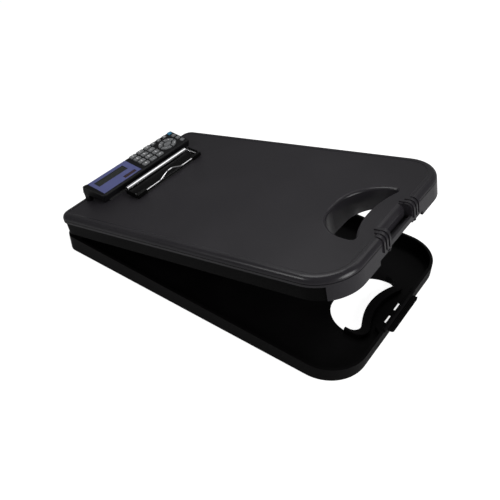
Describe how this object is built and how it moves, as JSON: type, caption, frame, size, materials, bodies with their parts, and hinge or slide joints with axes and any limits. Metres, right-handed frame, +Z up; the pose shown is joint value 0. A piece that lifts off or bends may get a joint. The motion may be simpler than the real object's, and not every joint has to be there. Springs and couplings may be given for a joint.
{
  "type": "storage clipboard box",
  "caption": "Shallow document box whose hinged lid is a writing board with a sprung paper clip, a calculator, a hand hole and a flap latch.",
  "frame": {"origin": "centre of the tray's underside, on the surface that the box lies on", "axes": "+Z up; +X along the length towards the carrying handle and latch; the hinge is at -X; +Y is across, towards the calculator's key end"},
  "size_m": [0.4118, 0.252, 0.1389],
  "materials": {
    "black_plastic": "fine satin texture",
    "charcoal_plastic": "fine pebbled texture",
    "steel": "plain",
    "chrome": "polished",
    "black_metal": "satin black",
    "rubber": "matt",
    "calculator_plastic": "satin",
    "faceplate_blue": "satin",
    "window_clear": "clear",
    "display_green": "smooth",
    "solar_brown": "smooth",
    "board_green": "smooth",
    "key_grey": "satin",
    "key_teal": "satin"
  },
  "bodies": {
    "tray": {"tray_shell": "black_plastic", "hinge_pin": "steel", "latch_pin": "steel"},
    "latch": {"latch_flap": "black_plastic"},
    "lid": {"lid_shell": "charcoal_plastic", "lid_frame": "black_plastic", "clip_base_plate": "black_metal", "clip_rivets": "chrome", "clip_tube": "chrome", "clip_bushing_near": "black_plastic", "clip_bushing_far": "black_plastic", "clip_spring": "steel", "calculator_cradle": "black_plastic", "calculator_end_cap": "calculator_plastic", "calculator_lower_case": "calculator_plastic", "calculator_upper_case": "calculator_plastic", "calculator_faceplate": "faceplate_blue", "display_window": "window_clear", "display_panel": "display_green", "solar_cell": "solar_brown", "circuit_board": "board_green", "board_supports": "rubber", "key_mat": "rubber", "battery": "chrome", "case_screws": "steel"},
    "jaw": {"clip_jaw": "black_metal", "clip_wire": "chrome", "jaw_grip_strip": "rubber"},
    "key_number_r1_c1": {"key_number_r1_c1": "key_grey"},
    "key_number_r1_c2": {"key_number_r1_c2": "key_grey"},
    "key_number_r1_c3": {"key_number_r1_c3": "key_grey"},
    "key_number_r2_c1": {"key_number_r2_c1": "key_grey"},
    "key_number_r2_c2": {"key_number_r2_c2": "key_grey"},
    "key_number_r2_c3": {"key_number_r2_c3": "key_grey"},
    "key_number_r3_c1": {"key_number_r3_c1": "key_grey"},
    "key_number_r3_c2": {"key_number_r3_c2": "key_grey"},
    "key_number_r3_c3": {"key_number_r3_c3": "key_grey"},
    "key_number_r4_c1": {"key_number_r4_c1": "key_grey"},
    "key_number_r4_c2": {"key_number_r4_c2": "key_grey"},
    "key_number_r4_c3": {"key_number_r4_c3": "key_grey"},
    "key_small_1": {"key_small_1": "key_grey"},
    "key_small_2": {"key_small_2": "key_grey"},
    "key_small_3": {"key_small_3": "key_grey"},
    "key_end_1": {"key_end_1": "key_teal"},
    "key_end_2": {"key_end_2": "key_grey"},
    "key_end_3": {"key_end_3": "key_grey"},
    "key_end_4": {"key_end_4": "key_grey"},
    "key_pad_back_near": {"key_pad_back_near": "key_grey"},
    "key_pad_back_far": {"key_pad_back_far": "key_grey"},
    "key_pad_front_near": {"key_pad_front_near": "key_grey"},
    "key_pad_front_far": {"key_pad_front_far": "key_grey"},
    "key_pad_centre": {"key_pad_centre": "key_grey"}
  },
  "joints": [
    {"name": "lid_hinge", "type": "hinge", "parent": "tray", "child": "lid", "pos_m": [-0.2, 0, 0.0234], "axis": [0, -1, 0], "range_deg": [-13.9, 86.9]},
    {"name": "latch_hinge", "type": "hinge", "parent": "tray", "child": "latch", "pos_m": [0.1982, 0, 0.0163], "axis": [0, -1, 0], "range_deg": [0, 90]},
    {"name": "clip_jaw_hinge", "type": "hinge", "parent": "lid", "child": "jaw", "pos_m": [-0.15167, 0, 0.06936], "axis": [0, -1, 0], "range_deg": [0, 35], "stiffness_Nm_per_rad": 0.6, "springref_deg": -28.65},
    {"name": "key_number_r1_c1_press", "type": "slide", "parent": "lid", "child": "key_number_r1_c1", "axis": [-0.0678, 0, -0.9977], "range_m": [0, 0.0009], "stiffness_N_per_m": 300, "springref_m": -0.0005},
    {"name": "key_number_r1_c2_press", "type": "slide", "parent": "lid", "child": "key_number_r1_c2", "axis": [-0.0678, 0, -0.9977], "range_m": [0, 0.0009], "stiffness_N_per_m": 300, "springref_m": -0.0005},
    {"name": "key_number_r1_c3_press", "type": "slide", "parent": "lid", "child": "key_number_r1_c3", "axis": [-0.0678, 0, -0.9977], "range_m": [0, 0.0009], "stiffness_N_per_m": 300, "springref_m": -0.0005},
    {"name": "key_number_r2_c1_press", "type": "slide", "parent": "lid", "child": "key_number_r2_c1", "axis": [-0.0678, 0, -0.9977], "range_m": [0, 0.0009], "stiffness_N_per_m": 300, "springref_m": -0.0005},
    {"name": "key_number_r2_c2_press", "type": "slide", "parent": "lid", "child": "key_number_r2_c2", "axis": [-0.0678, 0, -0.9977], "range_m": [0, 0.0009], "stiffness_N_per_m": 300, "springref_m": -0.0005},
    {"name": "key_number_r2_c3_press", "type": "slide", "parent": "lid", "child": "key_number_r2_c3", "axis": [-0.0678, 0, -0.9977], "range_m": [0, 0.0009], "stiffness_N_per_m": 300, "springref_m": -0.0005},
    {"name": "key_number_r3_c1_press", "type": "slide", "parent": "lid", "child": "key_number_r3_c1", "axis": [-0.0678, 0, -0.9977], "range_m": [0, 0.0009], "stiffness_N_per_m": 300, "springref_m": -0.0005},
    {"name": "key_number_r3_c2_press", "type": "slide", "parent": "lid", "child": "key_number_r3_c2", "axis": [-0.0678, 0, -0.9977], "range_m": [0, 0.0009], "stiffness_N_per_m": 300, "springref_m": -0.0005},
    {"name": "key_number_r3_c3_press", "type": "slide", "parent": "lid", "child": "key_number_r3_c3", "axis": [-0.0678, 0, -0.9977], "range_m": [0, 0.0009], "stiffness_N_per_m": 300, "springref_m": -0.0005},
    {"name": "key_number_r4_c1_press", "type": "slide", "parent": "lid", "child": "key_number_r4_c1", "axis": [-0.0678, 0, -0.9977], "range_m": [0, 0.0009], "stiffness_N_per_m": 300, "springref_m": -0.0005},
    {"name": "key_number_r4_c2_press", "type": "slide", "parent": "lid", "child": "key_number_r4_c2", "axis": [-0.0678, 0, -0.9977], "range_m": [0, 0.0009], "stiffness_N_per_m": 300, "springref_m": -0.0005},
    {"name": "key_number_r4_c3_press", "type": "slide", "parent": "lid", "child": "key_number_r4_c3", "axis": [-0.0678, 0, -0.9977], "range_m": [0, 0.0009], "stiffness_N_per_m": 300, "springref_m": -0.0005},
    {"name": "key_small_1_press", "type": "slide", "parent": "lid", "child": "key_small_1", "axis": [-0.0678, 0, -0.9977], "range_m": [0, 0.0009], "stiffness_N_per_m": 300, "springref_m": -0.0005},
    {"name": "key_small_2_press", "type": "slide", "parent": "lid", "child": "key_small_2", "axis": [-0.0678, 0, -0.9977], "range_m": [0, 0.0009], "stiffness_N_per_m": 300, "springref_m": -0.0005},
    {"name": "key_small_3_press", "type": "slide", "parent": "lid", "child": "key_small_3", "axis": [-0.0678, 0, -0.9977], "range_m": [0, 0.0009], "stiffness_N_per_m": 300, "springref_m": -0.0005},
    {"name": "key_end_1_press", "type": "slide", "parent": "lid", "child": "key_end_1", "axis": [-0.0678, 0, -0.9977], "range_m": [0, 0.0009], "stiffness_N_per_m": 300, "springref_m": -0.0005},
    {"name": "key_end_2_press", "type": "slide", "parent": "lid", "child": "key_end_2", "axis": [-0.0678, 0, -0.9977], "range_m": [0, 0.0009], "stiffness_N_per_m": 300, "springref_m": -0.0005},
    {"name": "key_end_3_press", "type": "slide", "parent": "lid", "child": "key_end_3", "axis": [-0.0678, 0, -0.9977], "range_m": [0, 0.0009], "stiffness_N_per_m": 300, "springref_m": -0.0005},
    {"name": "key_end_4_press", "type": "slide", "parent": "lid", "child": "key_end_4", "axis": [-0.0678, 0, -0.9977], "range_m": [0, 0.0009], "stiffness_N_per_m": 300, "springref_m": -0.0005},
    {"name": "key_pad_back_near_press", "type": "slide", "parent": "lid", "child": "key_pad_back_near", "axis": [-0.0678, 0, -0.9977], "range_m": [0, 0.0009], "stiffness_N_per_m": 300, "springref_m": -0.0005},
    {"name": "key_pad_back_far_press", "type": "slide", "parent": "lid", "child": "key_pad_back_far", "axis": [-0.0678, 0, -0.9977], "range_m": [0, 0.0009], "stiffness_N_per_m": 300, "springref_m": -0.0005},
    {"name": "key_pad_front_near_press", "type": "slide", "parent": "lid", "child": "key_pad_front_near", "axis": [-0.0678, 0, -0.9977], "range_m": [0, 0.0009], "stiffness_N_per_m": 300, "springref_m": -0.0005},
    {"name": "key_pad_front_far_press", "type": "slide", "parent": "lid", "child": "key_pad_front_far", "axis": [-0.0678, 0, -0.9977], "range_m": [0, 0.0009], "stiffness_N_per_m": 300, "springref_m": -0.0005},
    {"name": "key_pad_centre_press", "type": "slide", "parent": "lid", "child": "key_pad_centre", "axis": [-0.0678, 0, -0.9977], "range_m": [0, 0.0009], "stiffness_N_per_m": 300, "springref_m": -0.0005}
  ]
}
